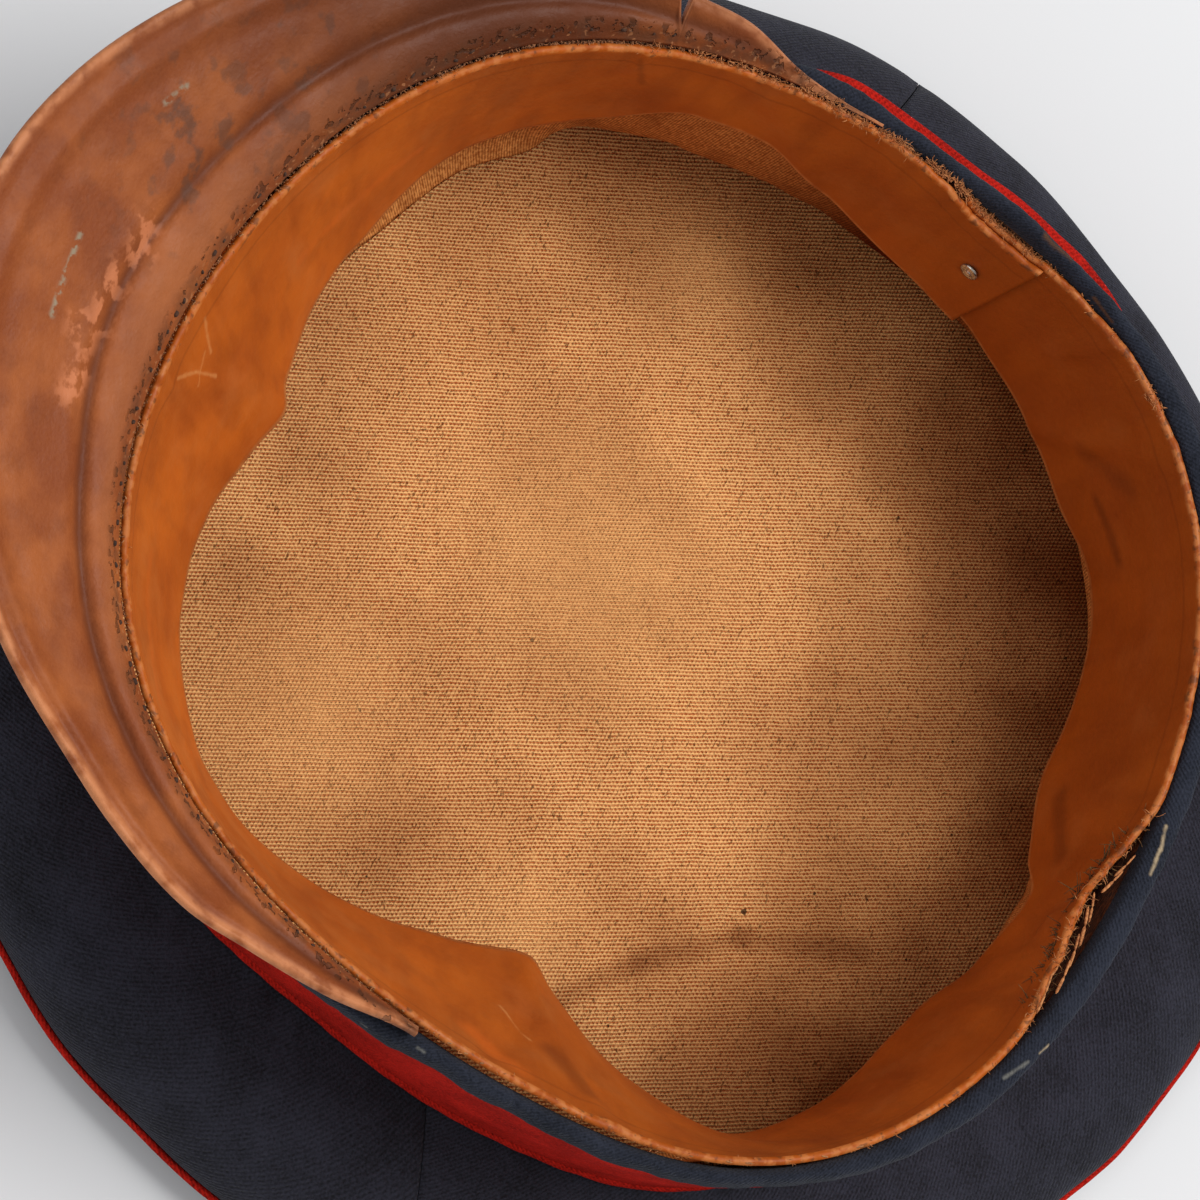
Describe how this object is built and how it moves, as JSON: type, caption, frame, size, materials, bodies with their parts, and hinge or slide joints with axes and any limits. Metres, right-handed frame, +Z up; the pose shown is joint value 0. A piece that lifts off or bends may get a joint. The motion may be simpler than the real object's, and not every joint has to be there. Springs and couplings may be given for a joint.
{
  "type": "visor cap",
  "caption": "Cloth visor cap lying upside down on its round crown, with a red band, a leather visor, a folded leather sweatband and a ribbed lining.",
  "frame": {"origin": "middle of the box that holds the cap, on the surface that its crown lies on", "axes": "+Z up out of the cap's open side, away from its crown; +Y from the visor to the back; +X across the cap"},
  "size_m": [0.239, 0.2602, 0.0947],
  "materials": {
    "navy_cloth": "dark navy wool cloth with a fine twill, rubbed pale in spots on the rim strip",
    "red_cloth": "scarlet wool cloth, matt",
    "visor_leather": "worn reddish brown leather inside, black lacquered leather outside",
    "sweatband_leather": "smooth tan leather, creased, darker where hands and forehead touched it",
    "lining_cloth": "golden tan ribbed cloth with fine dark flecks",
    "stiffener_board": "dark brown pressed board",
    "steel": "dull steel"
  },
  "bodies": {
    "root": {"crown_top": "navy_cloth", "crown_piping": "red_cloth", "crown_side_front": "navy_cloth", "crown_side_back": "navy_cloth", "band": "red_cloth", "band_piping": "red_cloth", "band_stiffener": "stiffener_board", "rim_strip": "navy_cloth", "visor": "visor_leather", "sweatband": "sweatband_leather", "sweatband_rivet": "steel", "lining_side": "lining_cloth", "lining_top": "lining_cloth"}
  },
  "joints": []
}
